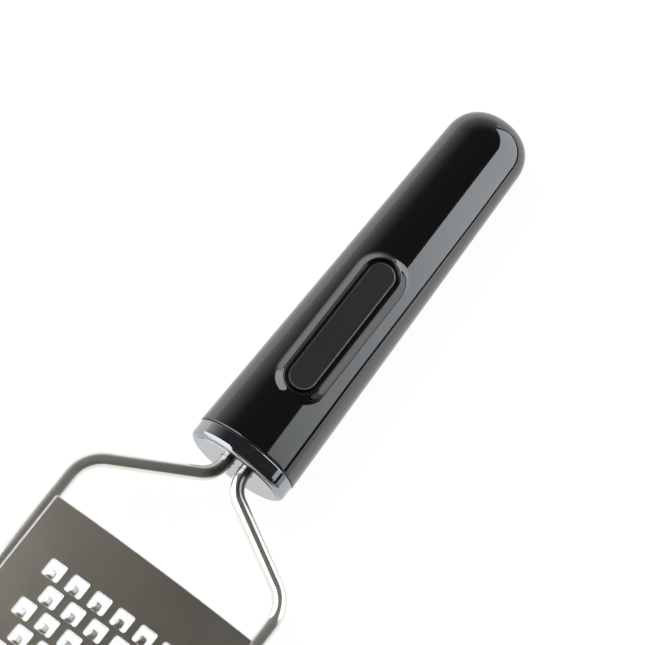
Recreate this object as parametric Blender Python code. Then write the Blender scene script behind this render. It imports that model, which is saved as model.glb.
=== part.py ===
"""Hand-held flat cheese grater: bowed blade on a bent wire loop, with a tapered oval handle.

Frame: +X runs from the blade to the tip of the handle, +Z is the side that grates, and the
origin is the middle of the footprint on the surface that the grater lies on. Lengths are metres.
Stations along the tool are first measured from the front face of the end cap. One empty carries
the whole tool to the origin, with heights from the plane of the wire, and a second one under it
carries the handle, with heights from the handle's own axis.
"""

import math

import bmesh
import bpy
from mathutils import Vector

# Handle shell, a tapered oval tube with a domed tip
HANDLE_LENGTH = 0.1161
HANDLE_FRONT_HALF_WIDTH = 0.0148
HANDLE_FRONT_HALF_THICKNESS = 0.0105
HANDLE_END_HALF_WIDTH = 0.0115
HANDLE_END_HALF_THICKNESS = 0.0086
HANDLE_DOME_LENGTH = 0.0084
HANDLE_WALL = 0.0022
HANDLE_RIM_ROUND = 0.0004
CAVITY_END_TAPER = 0.0030
CAVITY_END_SHARE = 0.7

# Boss and badge on top of the handle
BADGE_STATION = 0.0400
BADGE_SPAN = 0.0345
BADGE_HALF_WIDTH = 0.0038
BADGE_THICKNESS = 0.0009
BADGE_EDGE_BEVEL = 0.0003
BADGE_GROOVE = 0.0011
BADGE_RECESS = 0.0012
BADGE_POST_RADIUS = 0.0008
BADGE_POST_SHARE = 0.6
BOSS_LIP = 0.0008
BOSS_RISE = 0.0007
BOSS_FLARE = 0.0024
BOSS_PROFILE_SHARES = ((0.0, 0.0), (0.12, 0.04), (0.26, 0.17), (0.45, 0.45), (0.68, 0.74), (1.0, 1.0))
BOSS_SINK_SHARE = 0.9

# End cap, a metal ferrule with a spigot that plugs into the handle
CAP_LENGTH = 0.0048
CAP_STEP = 0.00025
CAP_FRONT_ROUND = 0.0012
CAP_FACE_THICKNESS = 0.0016
SPIGOT_LENGTH = 0.0060
SPIGOT_WALL = 0.0014

# Block inside the handle, in two halves, that grips the legs of the wire
TANG_BLOCK_LENGTH = 0.0400
TANG_BLOCK_END_WALL = 0.0030
LEG_HEAD_LENGTH = 0.0025

# Wire loop, which lies above the axis of the handle
WIRE_DIAMETER = 0.0040
WIRE_RISE = 0.0030
LEG_GAP = 0.0016
LEG_LEAD = 0.0011
NECK_BEND_RADIUS = 0.0073
NECK_ANGLE = math.radians(60.2)
LOOP_BEND_RADIUS = 0.0105
SHOULDER_TO_BLADE = 0.0070
BLADE_TO_END_BEND = 0.0010

# Blade, a bowed sheet with staggered rows of punched teeth
BLADE_WIDTH = 0.0620
BLADE_LENGTH = 0.1160
BLADE_THICKNESS = 0.0006
BLADE_BOW = 0.0018
BLADE_EDGE_INSET = 0.0011
BLADE_SIDE_MARGIN = 0.0060
BLADE_FRONT_MARGIN = 0.0133
BLADE_END_MARGIN = 0.0125
HOLE_PITCH = 0.0071
ROW_PITCH = 0.0063
HOLE_WIDTH = 0.0047
HOLE_LENGTH = 0.0049
HOLE_CORNER_RADIUS = 0.0006
TOOTH_WIDTH = 0.0020
TOOTH_LENGTH = 0.0025
TOOTH_FLAT = 0.0008
TOOTH_CURL_RADIUS = 0.0014
TOOTH_TIP_RADIUS = 0.0006
TOOTH_ROOT_FILLET = 0.0003

# Clearance between pieces that touch, and how far a cut runs past what it cuts
FIT_GAP = 0.0003
CUT_OVERRUN = 0.0010

OVAL_SIDES = 40
WIRE_SIDES = 16
BEND_STEPS = 6
DOME_STEPS = 6
ROUND_STEPS = 3
CORNER_STEPS = 2
PILL_STEPS = 10
POST_SIDES = 12
SHARP_ANGLE = math.radians(35.0)

# Sizes that follow from the ones above
WIRE_RADIUS = WIRE_DIAMETER / 2
LEG_HALF_SPACING = (WIRE_DIAMETER + LEG_GAP) / 2
LEG_HEAD_RADIUS = WIRE_RADIUS + LEG_GAP / 4
HANDLE_START = CAP_LENGTH + FIT_GAP
HANDLE_TIP = HANDLE_START + HANDLE_LENGTH
BLOCK_START = CAP_FACE_THICKNESS + FIT_GAP
BLOCK_END = BLOCK_START + TANG_BLOCK_LENGTH
LEG_END = BLOCK_END - TANG_BLOCK_END_WALL
LEG_HEAD_START = LEG_END - LEG_HEAD_LENGTH
SPIGOT_END = CAP_LENGTH + SPIGOT_LENGTH
LOOP_HALF_WIDTH = BLADE_WIDTH / 2 + BLADE_EDGE_INSET
NECK_CORNER = LEG_LEAD + NECK_BEND_RADIUS * math.tan(NECK_ANGLE / 2)
SHOULDER_CORNER = NECK_CORNER + (LOOP_HALF_WIDTH - LEG_HALF_SPACING) / math.tan(NECK_ANGLE)
BLADE_START = SHOULDER_CORNER + LOOP_BEND_RADIUS * math.tan(NECK_ANGLE / 2) + SHOULDER_TO_BLADE
BLADE_END = BLADE_START + BLADE_LENGTH
LOOP_END = BLADE_END + BLADE_TO_END_BEND + LOOP_BEND_RADIUS
BLADE_EDGE_SEAT = math.sqrt((WIRE_RADIUS + FIT_GAP) ** 2 - BLADE_EDGE_INSET ** 2)
BLADE_EDGE_HEIGHT = BLADE_EDGE_SEAT + BLADE_THICKNESS / 2
BOW_RADIUS = ((BLADE_WIDTH / 2) ** 2 + BLADE_BOW ** 2) / (2 * BLADE_BOW)
FOOTPRINT_MIDDLE = (HANDLE_TIP - LOOP_END - WIRE_RADIUS) / 2
CROWN_SLOPE = math.atan2(HANDLE_FRONT_HALF_THICKNESS - HANDLE_END_HALF_THICKNESS,
                         HANDLE_LENGTH - HANDLE_DOME_LENGTH)

GLOSS_BLACK = ("gloss_black_plastic", (0.007, 0.007, 0.008), 0.0, 0.12)
POLISHED_CAP = ("polished_metal", (0.62, 0.63, 0.65), 1.0, 0.10)
POLISHED_WIRE = ("polished_wire", (0.60, 0.59, 0.56), 1.0, 0.18)
SATIN_SHEET = ("satin_sheet", (0.46, 0.45, 0.42), 1.0, 0.32)
CHARCOAL = ("charcoal_satin", (0.030, 0.030, 0.031), 0.3, 0.45)
INNER_PLASTIC = ("inner_plastic", (0.055, 0.055, 0.058), 0.0, 0.55)


def clear_scene():
    """Remove every object that the file opens with."""
    for thing in list(bpy.data.objects):
        bpy.data.objects.remove(thing, do_unlink=True)


def material(finish):
    """Return the Principled material of one finish, made once."""
    name, colour, metallic, roughness = finish
    found = bpy.data.materials.get(name)
    if found:
        return found
    made = bpy.data.materials.new(name)
    made.use_nodes = True
    shader = made.node_tree.nodes["Principled BSDF"]
    shader.inputs["Base Color"].default_value = (*colour, 1.0)
    shader.inputs["Metallic"].default_value = metallic
    shader.inputs["Roughness"].default_value = roughness
    made.diffuse_color = (*colour, 1.0)
    return made


def empty(name, parent=None, location=(0.0, 0.0, 0.0), tilt=0.0):
    """Add an empty that carries other objects, tilted about Y."""
    holder = bpy.data.objects.new(name, None)
    bpy.context.scene.collection.objects.link(holder)
    holder.parent = parent
    holder.location = location
    holder.rotation_euler = (0.0, tilt, 0.0)
    return holder


def finish_object(name, shape, finish, parent):
    """Turn a bmesh into a smooth-shaded object with its material."""
    bmesh.ops.recalc_face_normals(shape, faces=shape.faces)
    mesh = bpy.data.meshes.new(name)
    shape.to_mesh(mesh)
    shape.free()
    mesh.shade_smooth()
    mesh.set_sharp_from_angle(angle=SHARP_ANGLE)
    piece = bpy.data.objects.new(name, mesh)
    bpy.context.scene.collection.objects.link(piece)
    piece.parent = parent
    mesh.materials.append(material(finish))
    return piece


def boolean(piece, tool, operation):
    """Cut a hidden tool from a piece, or add it, with a live modifier."""
    tool.hide_render = True
    tool.display_type = "WIRE"
    step = piece.modifiers.new(tool.name, "BOOLEAN")
    step.operation = operation
    step.solver = "EXACT"
    step.object = tool


def loft(rings, tip=None):
    """Skin a list of equal rings of points and fan both ends shut, the last one round a tip if given."""
    shape = bmesh.new()
    loops = [[shape.verts.new(point) for point in ring] for ring in rings]
    count = len(loops[0])
    for near, far in zip(loops, loops[1:]):
        for side in range(count):
            after = (side + 1) % count
            shape.faces.new((near[side], near[after], far[after], far[side]))
    for loop, pole in ((loops[0], None), (loops[-1], tip)):
        middle = shape.verts.new(pole or sum((vert.co for vert in loop), Vector()) / count)
        for side in range(count):
            shape.faces.new((loop[side], loop[(side + 1) % count], middle))
    return shape


def oval(station, half_width, half_thickness):
    """Return one ring across the tool, whose flats touch the oval of these half sizes.

    A flat lies lowest, so that the handle rests on a strip and is as thick as its size says.
    """
    width = half_width / math.cos(math.pi / OVAL_SIDES)
    thickness = half_thickness / math.cos(math.pi / OVAL_SIDES)
    turns = [math.pi * (2 * side + 1) / OVAL_SIDES for side in range(OVAL_SIDES)]
    return [(station, width * math.cos(a), thickness * math.sin(a)) for a in turns]


def disc(station, radius, middle_y):
    """Return one ring of points on a circle of the wire's sides that stands across the tool."""
    turns = [2 * math.pi * side / WIRE_SIDES for side in range(WIRE_SIDES)]
    return [(station, middle_y + radius * math.cos(a), radius * math.sin(a)) for a in turns]


def handle_half_sizes(station):
    """Return the half width and half thickness of the tapered handle at a station."""
    share = (station - HANDLE_START) / (HANDLE_LENGTH - HANDLE_DOME_LENGTH)
    half_width = HANDLE_FRONT_HALF_WIDTH + share * (HANDLE_END_HALF_WIDTH - HANDLE_FRONT_HALF_WIDTH)
    half_thickness = HANDLE_FRONT_HALF_THICKNESS
    half_thickness += share * (HANDLE_END_HALF_THICKNESS - HANDLE_FRONT_HALF_THICKNESS)
    return half_width, half_thickness


def inset_oval(station, inset):
    """Return the handle's ring at a station, drawn in evenly by an inset."""
    half_width, half_thickness = handle_half_sizes(station)
    return oval(station, half_width - inset, half_thickness - inset)


def quarter_turns(steps):
    """Return the angles that divide a quarter turn, both ends included."""
    return [math.pi / 2 * step / steps for step in range(steps + 1)]


def handle_shell(grip):
    """Tapered oval shell: the cavity's rings from the deep end, then the outside to the tip."""
    dome_start = HANDLE_TIP - HANDLE_DOME_LENGTH
    half_width, half_thickness = handle_half_sizes(dome_start)
    deep_width = (half_width - HANDLE_WALL) * CAVITY_END_SHARE
    deep_thickness = (half_thickness - HANDLE_WALL) * CAVITY_END_SHARE
    rings = [oval(dome_start, deep_width, deep_thickness)]
    rings.append(inset_oval(dome_start - CAVITY_END_TAPER, HANDLE_WALL))
    rings.append(inset_oval(HANDLE_START, HANDLE_WALL))
    for turn in quarter_turns(ROUND_STEPS):
        inset = HANDLE_RIM_ROUND * (1 - math.sin(turn))
        rings.append(inset_oval(HANDLE_START + HANDLE_RIM_ROUND * (1 - math.cos(turn)), inset))
    for turn in quarter_turns(DOME_STEPS)[:-1]:
        station = dome_start + HANDLE_DOME_LENGTH * math.sin(turn)
        rings.append(oval(station, half_width * math.cos(turn), half_thickness * math.cos(turn)))
    shape = loft(rings, Vector((HANDLE_TIP, 0.0, 0.0)))
    return finish_object("handle_shell", shape, GLOSS_BLACK, grip)


def pill(half_width, height):
    """Return the outline of a long pill in the badge's own frame, at one height."""
    points = []
    for end, start in ((1, -math.pi / 2), (-1, math.pi / 2)):
        for step in range(PILL_STEPS + 1):
            turn = start + math.pi * step / PILL_STEPS
            along = end * BADGE_SPAN / 2 + half_width * math.cos(turn)
            points.append((along, half_width * math.sin(turn), height))
    return points


def badge_boss(seat):
    """Flared pill that rises out of the handle's crown to carry the badge."""
    skirt_depth = BOSS_RISE + HANDLE_WALL * BOSS_SINK_SHARE
    top_half_width = BADGE_HALF_WIDTH + BADGE_GROOVE + BOSS_LIP
    rings = []
    for flare_share, depth_share in BOSS_PROFILE_SHARES:
        rings.append(pill(top_half_width + BOSS_FLARE * flare_share, -skirt_depth * depth_share))
    return finish_object("badge_boss_form", loft(rings), GLOSS_BLACK, seat)


def badge_recess(seat):
    """Pill-shaped pocket that the badge drops into, open at the top."""
    half_width = BADGE_HALF_WIDTH + BADGE_GROOVE
    rings = [pill(half_width, CUT_OVERRUN), pill(half_width, -BADGE_RECESS)]
    return finish_object("badge_recess_cut", loft(rings), GLOSS_BLACK, seat)


def post(name, seat, along, radius, top, bottom, finish):
    """Upright round post or hole in the badge's frame."""
    turns = [2 * math.pi * side / POST_SIDES for side in range(POST_SIDES)]
    rings = []
    for height in (top, bottom):
        rings.append([(along + radius * math.cos(a), radius * math.sin(a), height) for a in turns])
    return finish_object(name, loft(rings), finish, seat)


def badge_plate(seat):
    """Bare pill plate with a bevelled edge and two locating posts on its back."""
    floor = -BADGE_RECESS + FIT_GAP
    face = floor + BADGE_THICKNESS
    rings = [pill(BADGE_HALF_WIDTH, floor), pill(BADGE_HALF_WIDTH, face - BADGE_EDGE_BEVEL)]
    rings.append(pill(BADGE_HALF_WIDTH - BADGE_EDGE_BEVEL, face))
    plate = finish_object("badge_plate", loft(rings), CHARCOAL, seat)
    for end, label in ((1, "rear"), (-1, "front")):
        along = end * BADGE_SPAN / 2
        foot = floor - HANDLE_WALL * BADGE_POST_SHARE
        middle = floor + BADGE_THICKNESS / 2
        form = post(f"badge_post_{label}_form", seat, along, BADGE_POST_RADIUS, middle, foot, CHARCOAL)
        boolean(plate, form, "UNION")
    return plate


def fit_badge(shell, grip):
    """Raise the boss on the shell, cut the pocket and the post holes, and seat the plate."""
    station = HANDLE_START + BADGE_STATION
    height = handle_half_sizes(station)[1] + BOSS_RISE
    seat = empty("badge_seat", grip, (station, 0.0, height), CROWN_SLOPE)
    boolean(shell, badge_boss(seat), "UNION")
    boolean(shell, badge_recess(seat), "DIFFERENCE")
    hole_radius = BADGE_POST_RADIUS + FIT_GAP
    bottom = -BOSS_RISE - HANDLE_WALL - CUT_OVERRUN
    for end, label in ((1, "rear"), (-1, "front")):
        along = end * BADGE_SPAN / 2
        hole = post(f"post_hole_{label}_cut", seat, along, hole_radius, CUT_OVERRUN, bottom, GLOSS_BLACK)
        boolean(shell, hole, "DIFFERENCE")
    badge_plate(seat)


def leg_solid(name, side, clearance, frame):
    """Straight leg of the wire with its upset head, grown by a clearance, as a cutting tool."""
    middle_y = side * LEG_HALF_SPACING
    leg = WIRE_RADIUS + clearance
    head = LEG_HEAD_RADIUS + clearance
    head_start = LEG_HEAD_START - clearance
    rings = [disc(-CUT_OVERRUN, leg, middle_y), disc(head_start, leg, middle_y)]
    rings += [disc(head_start, head, middle_y), disc(LEG_END + clearance, head, middle_y)]
    return finish_object(name, loft(rings), INNER_PLASTIC, frame)


def spigot_inset(extra):
    """Return how far a fitted oval lies inside the handle's outside, with something extra."""
    return HANDLE_WALL + FIT_GAP + extra


def end_cap(grip, legs):
    """Ferrule with a rounded front edge, a hollow spigot behind it and two holes for the legs."""
    half_width = HANDLE_FRONT_HALF_WIDTH - CAP_STEP
    half_thickness = HANDLE_FRONT_HALF_THICKNESS - CAP_STEP
    rings = []
    for turn in quarter_turns(ROUND_STEPS):
        inset = CAP_FRONT_ROUND * (1 - math.sin(turn))
        station = CAP_FRONT_ROUND * (1 - math.cos(turn))
        rings.append(oval(station, half_width - inset, half_thickness - inset))
    rings.append(oval(CAP_LENGTH, half_width, half_thickness))
    rings.append(inset_oval(CAP_LENGTH, spigot_inset(0.0)))
    rings.append(inset_oval(SPIGOT_END, spigot_inset(0.0)))
    rings.append(inset_oval(SPIGOT_END, spigot_inset(SPIGOT_WALL)))
    rings.append(inset_oval(CAP_FACE_THICKNESS, spigot_inset(SPIGOT_WALL)))
    cap = finish_object("end_cap", loft(rings), POLISHED_CAP, grip)
    for leg in legs:
        boolean(cap, leg, "DIFFERENCE")
    return cap


def tang_block_half(name, side, grip, legs):
    """Half of the inner block: a stepped oval, halved on the wire's plane and grooved for the legs."""
    nose = spigot_inset(SPIGOT_WALL + FIT_GAP)
    shoulder = SPIGOT_END + FIT_GAP
    rings = [inset_oval(BLOCK_START, nose), inset_oval(shoulder, nose)]
    rings += [inset_oval(shoulder, spigot_inset(0.0)), inset_oval(BLOCK_END, spigot_inset(0.0))]
    shape = loft(rings)
    everything = shape.verts[:] + shape.edges[:] + shape.faces[:]
    plane = Vector((0.0, 0.0, WIRE_RISE + side * FIT_GAP / 2))
    cut = bmesh.ops.bisect_plane(shape, geom=everything, plane_co=plane, plane_no=(0.0, 0.0, -side),
                                 clear_outer=True)
    rim = [item for item in cut["geom_cut"] if isinstance(item, bmesh.types.BMEdge)]
    bmesh.ops.holes_fill(shape, edges=rim)
    half = finish_object(name, shape, INNER_PLASTIC, grip)
    for leg in legs:
        boolean(half, leg, "DIFFERENCE")
    return half


def rounded_route(corners, radii):
    """Turn a flat run of corners into points and headings, with an arc at each inner corner."""
    stops = []
    for index, corner in enumerate(corners):
        here = Vector(corner)
        if index == 0:
            stops.append((here, (Vector(corners[1]) - here).normalized()))
            continue
        arriving = (here - Vector(corners[index - 1])).normalized()
        if index == len(corners) - 1:
            stops.append((here, arriving))
            continue
        leaving = (Vector(corners[index + 1]) - here).normalized()
        swing = arriving.angle(leaving)
        reach = radii[index] * math.tan(swing / 2)
        left_hand = Vector((-arriving.y, arriving.x, 0.0))
        turn_side = math.copysign(1.0, left_hand.dot(leaving))
        start = here - arriving * reach
        centre = start + left_hand * turn_side * radii[index]
        for step in range(BEND_STEPS + 1):
            turn = swing * step / BEND_STEPS
            heading = arriving * math.cos(turn) + left_hand * turn_side * math.sin(turn)
            outward = arriving * math.sin(turn) - left_hand * turn_side * math.cos(turn)
            stops.append((centre + outward * radii[index], heading))
    return stops


def wire_run():
    """Return the wire as points, headings and radii, from one leg's upset head round to the other's."""
    leg, side = LEG_HALF_SPACING, LOOP_HALF_WIDTH
    half = [(LEG_END, leg, 0.0), (-NECK_CORNER, leg, 0.0)]
    half += [(-SHOULDER_CORNER, side, 0.0), (-LOOP_END, side, 0.0)]
    corners = half + [(x, -y, z) for x, y, z in reversed(half)]
    bends = [0.0, NECK_BEND_RADIUS, LOOP_BEND_RADIUS, LOOP_BEND_RADIUS]
    stops = rounded_route(corners, bends + bends[::-1])
    outwards = Vector((-1.0, 0.0, 0.0))
    head = [(0.0, LEG_HEAD_RADIUS), (LEG_HEAD_LENGTH, LEG_HEAD_RADIUS), (LEG_HEAD_LENGTH, WIRE_RADIUS)]
    run = [(stops[0][0] + outwards * reach, outwards, radius) for reach, radius in head]
    run += [(point, heading, WIRE_RADIUS) for point, heading in stops[1:-1]]
    run += [(stops[-1][0] + outwards * reach, -outwards, radius) for reach, radius in reversed(head)]
    return run


def wire_frame(frame):
    """One bent wire: a leg, a neck, a side, the far end, and back to the other leg."""
    up = Vector((0.0, 0.0, 1.0))
    turns = [2 * math.pi * side / WIRE_SIDES for side in range(WIRE_SIDES)]
    rings = []
    for point, heading, radius in wire_run():
        across = heading.cross(up)
        rings.append([point + (across * math.cos(a) + up * math.sin(a)) * radius for a in turns])
    return finish_object("wire_frame", loft(rings), POLISHED_WIRE, frame)


def bowed(along, across, rise=0.0):
    """Return the place on the bowed sheet of a point of the flat blank, raised by a height."""
    turn = across / BOW_RADIUS
    edge_turn = math.asin(BLADE_WIDTH / 2 / BOW_RADIUS)
    radius = BOW_RADIUS + rise
    height = radius * math.cos(turn) - BOW_RADIUS * math.cos(edge_turn)
    return Vector((-BLADE_START - along, radius * math.sin(turn), BLADE_EDGE_HEIGHT + height))


def blank_half_width():
    """Return half the blank's flat width, the arc that the bowed blade's width spans."""
    return BOW_RADIUS * math.asin(BLADE_WIDTH / 2 / BOW_RADIUS)


def curl(distance):
    """Return how far along and how high a tooth reaches at a distance from its root."""
    if distance <= TOOTH_FLAT:
        return distance, 0.0
    turn = (distance - TOOTH_FLAT) / TOOTH_CURL_RADIUS
    return TOOTH_FLAT + TOOTH_CURL_RADIUS * math.sin(turn), TOOTH_CURL_RADIUS * (1 - math.cos(turn))


def hole_outline():
    """Return one side of a hole as offsets from its middle: towards the handle, and outwards."""
    front, side = HOLE_LENGTH / 2, HOLE_WIDTH / 2
    round_front = []
    round_back = []
    for turn in quarter_turns(CORNER_STEPS):
        away = HOLE_CORNER_RADIUS * (1 - math.cos(turn))
        down = HOLE_CORNER_RADIUS * (1 - math.sin(turn))
        round_front.append((front - away, side - down))
        round_back.append((-front + away, side - down))
    root = (-front, TOOTH_WIDTH / 2 + TOOTH_ROOT_FILLET)
    return round_front, round_back, root


def tooth_outline():
    """Return one side of a tooth: distances from its root with half widths, root to tip."""
    half_width = TOOTH_WIDTH / 2
    steps = [(TOOTH_ROOT_FILLET, half_width), ((TOOTH_FLAT + TOOTH_LENGTH) / 2, half_width)]
    for turn in quarter_turns(CORNER_STEPS):
        reach = TOOTH_LENGTH - TOOTH_TIP_RADIUS * (1 - math.sin(turn))
        steps.append((reach, half_width - TOOTH_TIP_RADIUS * (1 - math.cos(turn))))
    return steps


def punch_hole(shape, grid, row, column, along, across):
    """Fill one cell of the blank round its hole and bend the tooth up out of it."""
    front = {side: grid[row][column + 1 + side] for side in (-1, 0, 1)}
    back = {side: grid[row + 1][column + 1 + side] for side in (-1, 0, 1)}
    round_front, round_back, root = hole_outline()
    edges = {}
    for side in (-1, 1):
        front_arc = [shape.verts.new(bowed(along - x, across + side * y)) for x, y in round_front]
        back_arc = [shape.verts.new(bowed(along - x, across + side * y)) for x, y in round_back]
        root_vert = shape.verts.new(bowed(along - root[0], across + side * root[1]))
        shape.faces.new((front[0], front[side], front_arc[0]))
        for near, far in zip(front_arc, front_arc[1:]):
            shape.faces.new((front[side], far, near))
        shape.faces.new((front[side], back[side], back_arc[-1], front_arc[-1]))
        for near, far in zip(back_arc, back_arc[1:]):
            shape.faces.new((back[side], near, far))
        shape.faces.new((back[side], back[0], root_vert, back_arc[0]))
        tooth = [root_vert]
        for distance, half_width in tooth_outline():
            reach, height = curl(distance)
            spot = bowed(along - root[0] - reach, across + side * half_width, height)
            tooth.append(shape.verts.new(spot))
        edges[side] = (front_arc[0], tooth)
    shape.faces.new((front[0], edges[1][0], edges[-1][0]))
    shape.faces.new((back[0], edges[-1][1][0], edges[1][1][0]))
    left, right = edges[1][1], edges[-1][1]
    for near in range(len(left) - 1):
        shape.faces.new((left[near], left[near + 1], right[near + 1], right[near]))


def blade_lines():
    """Return the blank's lines along and across: its edges and the borders of the half cells.

    Every row has the same holes, and the next row is shifted by half a hole's pitch, so the
    rows together are half a pitch wider than one of them.
    """
    holes = int((BLADE_WIDTH - 2 * BLADE_SIDE_MARGIN) / HOLE_PITCH - 1 / 2)
    rows = int((BLADE_LENGTH - BLADE_FRONT_MARGIN - BLADE_END_MARGIN) / ROW_PITCH)
    edge = blank_half_width()
    half_cells = 2 * holes + 1
    across = [(step - half_cells / 2) * HOLE_PITCH / 2 for step in range(half_cells + 1)]
    along = [BLADE_FRONT_MARGIN + row * ROW_PITCH for row in range(rows + 1)]
    return holes, rows, [0.0] + along + [BLADE_LENGTH], [-edge] + across + [edge]


def grater_blade(frame):
    """Bowed sheet with staggered rows of holes, each with a tooth, thickened evenly."""
    holes, rows, along, across = blade_lines()
    shape = bmesh.new()
    grid = [[shape.verts.new(bowed(x, y)) for y in across] for x in along]
    for row in range(len(along) - 1):
        indent = row % 2
        count = holes if 0 < row <= rows else 0
        punched = set()
        for hole in range(count):
            column = 1 + indent + 2 * hole
            middle = (along[row] + along[row + 1]) / 2
            punch_hole(shape, grid, row, column, middle, across[column + 1])
            punched.update((column, column + 1))
        for column in range(len(across) - 1):
            if column not in punched:
                near, far = grid[row], grid[row + 1]
                shape.faces.new((near[column], near[column + 1], far[column + 1], far[column]))
    blade = finish_object("grater_blade", shape, SATIN_SHEET, frame)
    sheet = blade.modifiers.new("sheet", "SOLIDIFY")
    sheet.thickness = BLADE_THICKNESS
    sheet.offset = 0.0
    sheet.use_even_offset = True
    return blade


def build():
    """Make every sub-part of the grater in its place."""
    clear_scene()
    wire_height = HANDLE_FRONT_HALF_THICKNESS + WIRE_RISE
    frame = empty("grater", None, (-FOOTPRINT_MIDDLE, 0.0, wire_height))
    grip = empty("grip", frame, (0.0, 0.0, -WIRE_RISE))
    legs = []
    for side, label in ((1, "left"), (-1, "right")):
        legs.append(leg_solid(f"leg_{label}_cut", side, FIT_GAP, frame))
    shell = handle_shell(grip)
    fit_badge(shell, grip)
    end_cap(grip, legs)
    tang_block_half("tang_block_upper", 1, grip, legs)
    tang_block_half("tang_block_lower", -1, grip, legs)
    wire_frame(frame)
    grater_blade(frame)


build()
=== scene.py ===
"""Flat hand grater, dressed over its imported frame: fine surfaces, finishes, studio and camera.

Every piece is worked out with numpy on grids or along paths, in metres, in the frame's own
coordinates: +X runs from the blade to the tip of the handle and +Z is the side that grates. A
station is a distance from the ferrule's flat face towards the handle's tip.
"""

import logging
import math
from collections.abc import Callable
from dataclasses import dataclass, field
from enum import Enum

import bmesh
import bpy
import numpy as np
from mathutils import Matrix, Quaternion, Vector
from mathutils.geometry import delaunay_2d_cdt

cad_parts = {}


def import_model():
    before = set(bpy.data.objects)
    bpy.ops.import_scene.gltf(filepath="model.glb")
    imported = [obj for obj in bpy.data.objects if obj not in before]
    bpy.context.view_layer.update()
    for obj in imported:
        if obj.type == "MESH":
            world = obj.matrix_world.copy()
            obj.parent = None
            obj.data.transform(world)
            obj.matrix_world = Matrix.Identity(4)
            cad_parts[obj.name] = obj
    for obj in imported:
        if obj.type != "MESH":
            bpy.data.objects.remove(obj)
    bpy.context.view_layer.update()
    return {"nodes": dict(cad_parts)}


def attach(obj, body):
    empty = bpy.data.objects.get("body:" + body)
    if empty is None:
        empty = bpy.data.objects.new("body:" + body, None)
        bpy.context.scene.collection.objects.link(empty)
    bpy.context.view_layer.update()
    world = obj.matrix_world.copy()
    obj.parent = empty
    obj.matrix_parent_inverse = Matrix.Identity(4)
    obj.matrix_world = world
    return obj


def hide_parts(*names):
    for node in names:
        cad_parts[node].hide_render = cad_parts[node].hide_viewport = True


LOG = logging.getLogger("grater")
ROOT = "root"
SHIFT = 0.021749284
AXIS_HEIGHT = 0.0105
WIRE_HEIGHT = 0.0135
FIT_GAP = 0.0003

Array = np.ndarray
Socket = bpy.types.NodeSocket
Sockets = bpy.types.bpy_prop_collection
Pair = tuple[float, float]
Triple = tuple[float, float, float]
Quad = tuple[float, float, float, float]


class Slot(Enum):
    """Material slots of the record."""

    HANDLE = "handle_black"
    FERRULE = "ferrule_polished"
    WIRE = "wire_polished"
    BLADE = "blade_satin"
    BADGE = "badge_charcoal"


def ease(share: Array) -> Array:
    """Return 0 to 1 along a smooth S: three times the share squared less twice its cube."""
    share = np.clip(share, 0.0, 1.0)
    return share * share * (3.0 - 2.0 * share)


def quarter(radius: float, steps: int) -> tuple[Array, Array]:
    """Return a quarter circle: the radius times 1 less the cosine, and times 1 less the sine."""
    turn = np.linspace(0.0, np.pi / 2, steps)
    return radius * (1 - np.cos(turn)), radius * (1 - np.sin(turn))


def around(sides: int) -> tuple[Array, Array]:
    """Return the cosines and the sines of a full turn in equal steps."""
    turns = np.linspace(0.0, 2 * np.pi, sides, endpoint=False)
    return np.cos(turns), np.sin(turns)


def points_of(along: Array, across: Array, up: Array | float) -> Array:
    """Return points from their three coordinates, which are spread to one shape."""
    return np.stack(np.broadcast_arrays(along, across, up), axis=-1)


def placed(station: Array, across: Array, height: Array) -> Array:
    """Return points from stations, places across and heights over the handle's axis."""
    return points_of(station + SHIFT, across, height + AXIS_HEIGHT)


def ovals(stations: Array, widths: Array, thicknesses: Array, sides: int) -> Array:
    """Return a ring at each station: half width times cosine, and half thickness times sine up."""
    across, up = around(sides)
    return placed(stations[:, None], widths[:, None] * across, thicknesses[:, None] * up)


def sweep(points: Array, headings: Array, radii: Array, sides: int) -> tuple[Array, Array]:
    """Carry a circle along a level path.

    Each ring is its path point plus the radius times the cosine of the turn sideways and the sine
    upwards, where sideways is the heading turned a right angle in the level plane.

    Args:
        points: The path.
        headings: Its unit heading at each point.
        radii: The radius at each point.
        sides: Points in each ring.

    Returns:
        The rings, and the same rings laid along a straight line.
    """
    across, up = around(sides)
    sideways = np.stack([headings[:, 1], -headings[:, 0], np.zeros(len(points))], axis=-1)
    reach = sideways[:, None] * across[:, None] + np.array([0.0, 0.0, 1.0]) * up[:, None]
    rings = points[:, None] + reach * radii[:, None, None]
    length = np.r_[0.0, np.cumsum(np.linalg.norm(np.diff(points, axis=0), axis=1))]
    return rings, points_of(length[:, None], radii[:, None] * across, radii[:, None] * up)


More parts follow.
